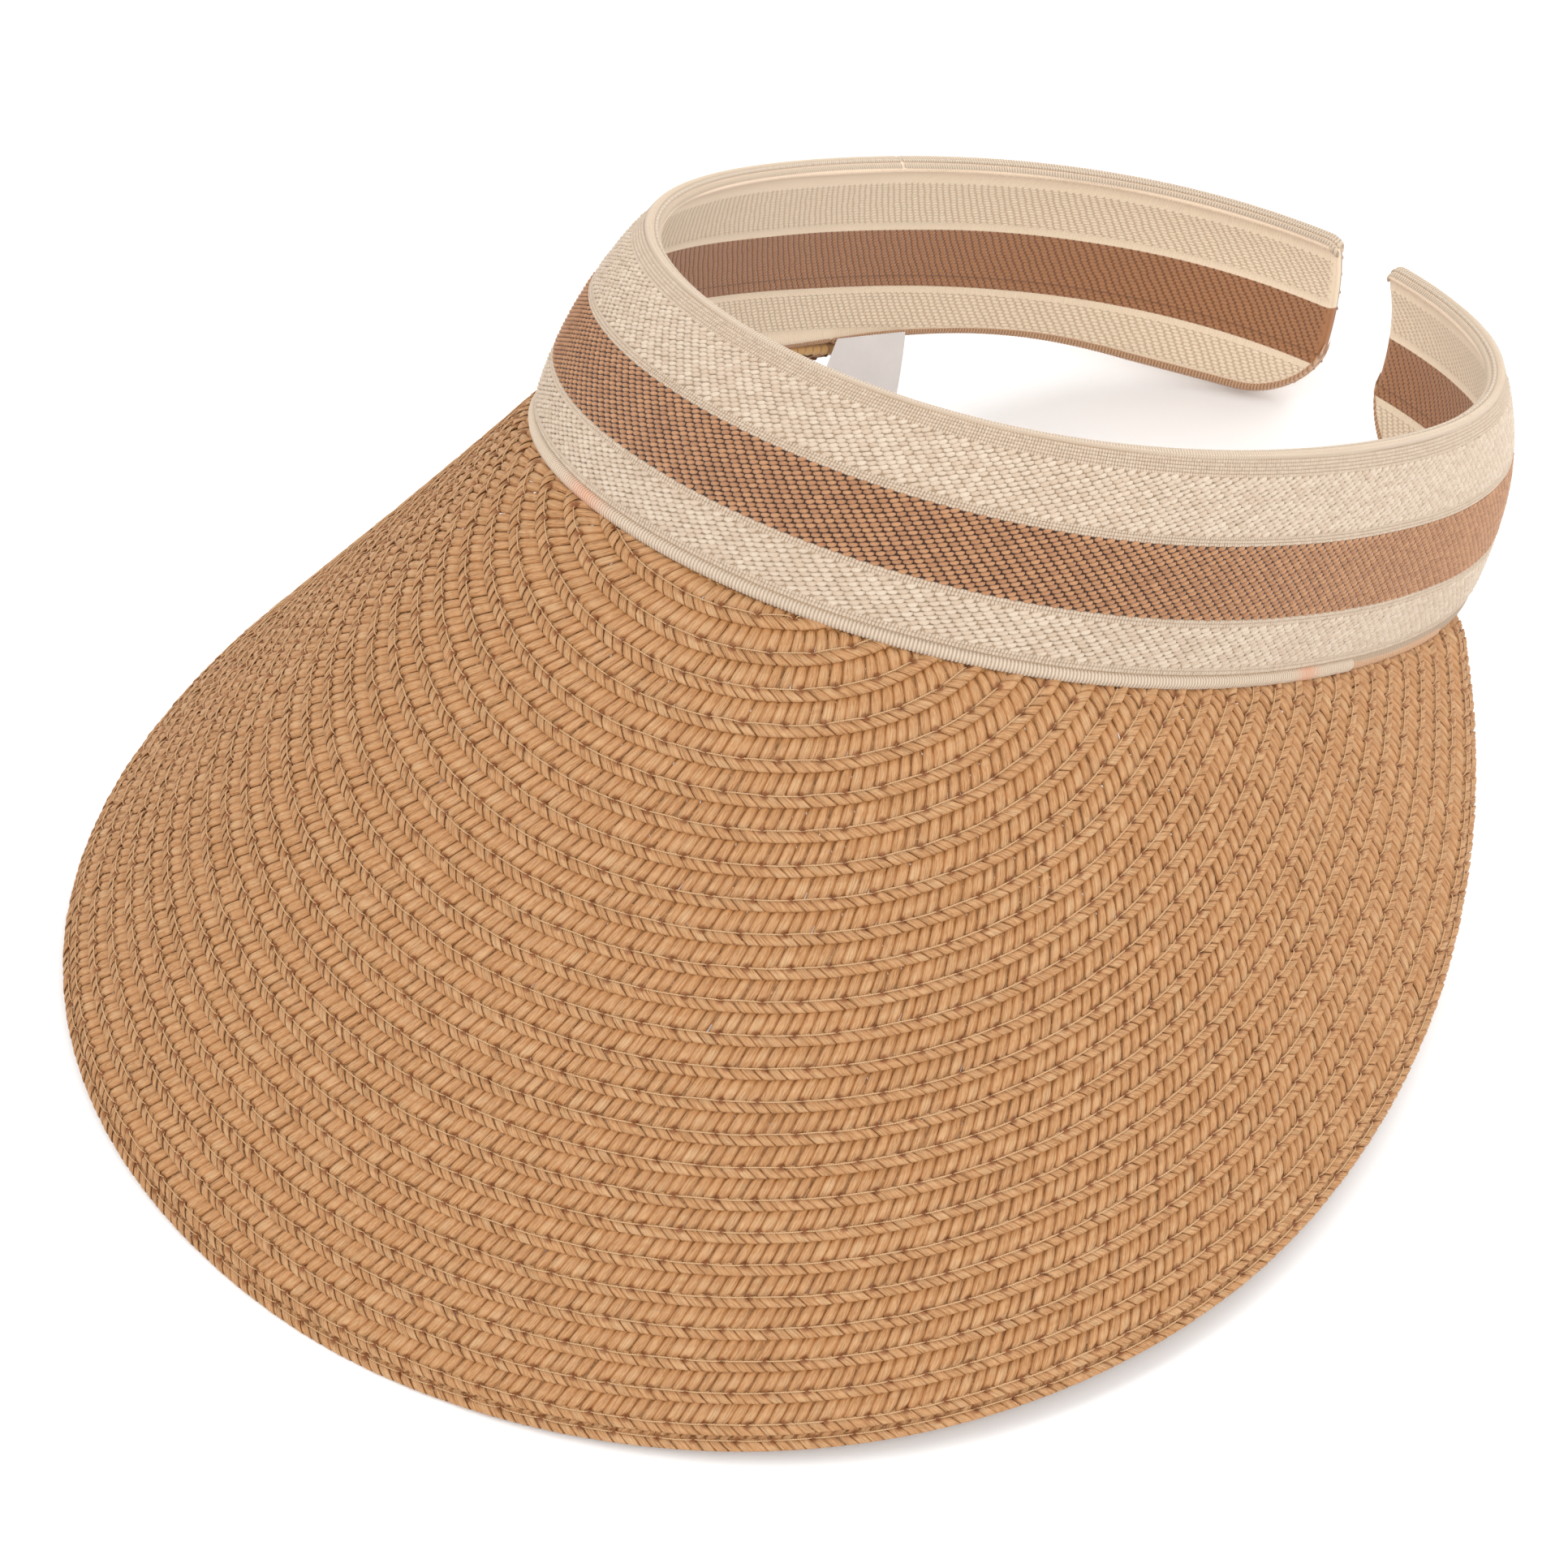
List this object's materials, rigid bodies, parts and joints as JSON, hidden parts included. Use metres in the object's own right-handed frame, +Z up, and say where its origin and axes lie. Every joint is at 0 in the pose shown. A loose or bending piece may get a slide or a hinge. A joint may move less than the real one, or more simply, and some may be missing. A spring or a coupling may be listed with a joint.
{
  "type": "straw sun visor",
  "caption": "Wide-brim visor of lapped straw braid on an open-back sprung headband covered in striped tape, with arms that flex apart.",
  "frame": {"origin": "bottom centre of the bounding box, on the surface the visor stands on", "axes": "+Z up, as the visor stands on the front of its rim and on the ends of its band; -Y the front of the brim, +Y the open back, +X the wearer's left. Left and right in the names are those of someone facing the visor's front, so the right arm is at +X"},
  "size_m": [0.2268, 0.2868, 0.1159],
  "materials": {
    "straw": "plaited flat paper straw, matt with a slight sheen along the strands",
    "striped_tape": "ribbed twill tape, cream with a brown centre stripe",
    "spring_plastic": "thin translucent springy strip",
    "selvedge": "rolled cream edge",
    "seam_thread": "orange-brown overlock thread",
    "label_cloth": "thin white satin, blank"
  },
  "bodies": {
    "front": {"rim_row": "straw", "braid_row_02": "straw", "braid_row_03": "straw", "braid_row_04": "straw", "braid_row_05": "straw", "braid_row_06": "straw", "braid_row_07": "straw", "braid_row_08": "straw", "braid_row_09": "straw", "braid_row_10": "straw", "braid_row_11": "straw", "braid_row_12": "straw", "braid_row_13": "straw", "braid_row_14": "straw", "braid_row_15": "straw", "braid_row_16": "straw", "braid_row_17": "straw", "braid_row_18": "straw", "braid_row_19": "straw", "braid_row_20": "straw", "braid_row_21": "straw", "braid_row_22": "straw", "braid_row_23": "straw", "braid_row_24": "straw", "braid_row_25": "straw", "braid_row_26": "straw", "outer_tape_front": "striped_tape", "inner_tape_front": "striped_tape", "spring_strip_front": "spring_plastic", "top_seam_front": "selvedge", "lower_selvedge": "selvedge", "overlock_front": "seam_thread"},
    "left_arm": {"outer_tape_left": "striped_tape", "inner_tape_left": "striped_tape", "spring_strip_left": "spring_plastic", "top_seam_left": "selvedge", "overlock_left": "seam_thread"},
    "right_arm": {"outer_tape_right": "striped_tape", "inner_tape_right": "striped_tape", "spring_strip_right": "spring_plastic", "top_seam_right": "selvedge", "overlock_right": "seam_thread"},
    "label": {"care_label": "label_cloth"}
  },
  "joints": [
    {"name": "left_arm_flex", "type": "hinge", "parent": "front", "child": "left_arm", "pos_m": [-0.05523, 0.09746, 0.0339], "axis": [0.1267, 0.4363, 0.8908], "range_deg": [-2, 14], "stiffness_Nm_per_rad": 0.3},
    {"name": "right_arm_flex", "type": "hinge", "parent": "front", "child": "right_arm", "pos_m": [0.05523, 0.09746, 0.0339], "axis": [0.1267, -0.4363, -0.8908], "range_deg": [-2, 14], "stiffness_Nm_per_rad": 0.3},
    {"name": "label_hang", "type": "hinge", "parent": "front", "child": "label", "pos_m": [-0.05891, 0.08056, 0.0239], "axis": [-0.2738, -0.8834, 0.3803], "range_deg": [-10, 40]}
  ]
}
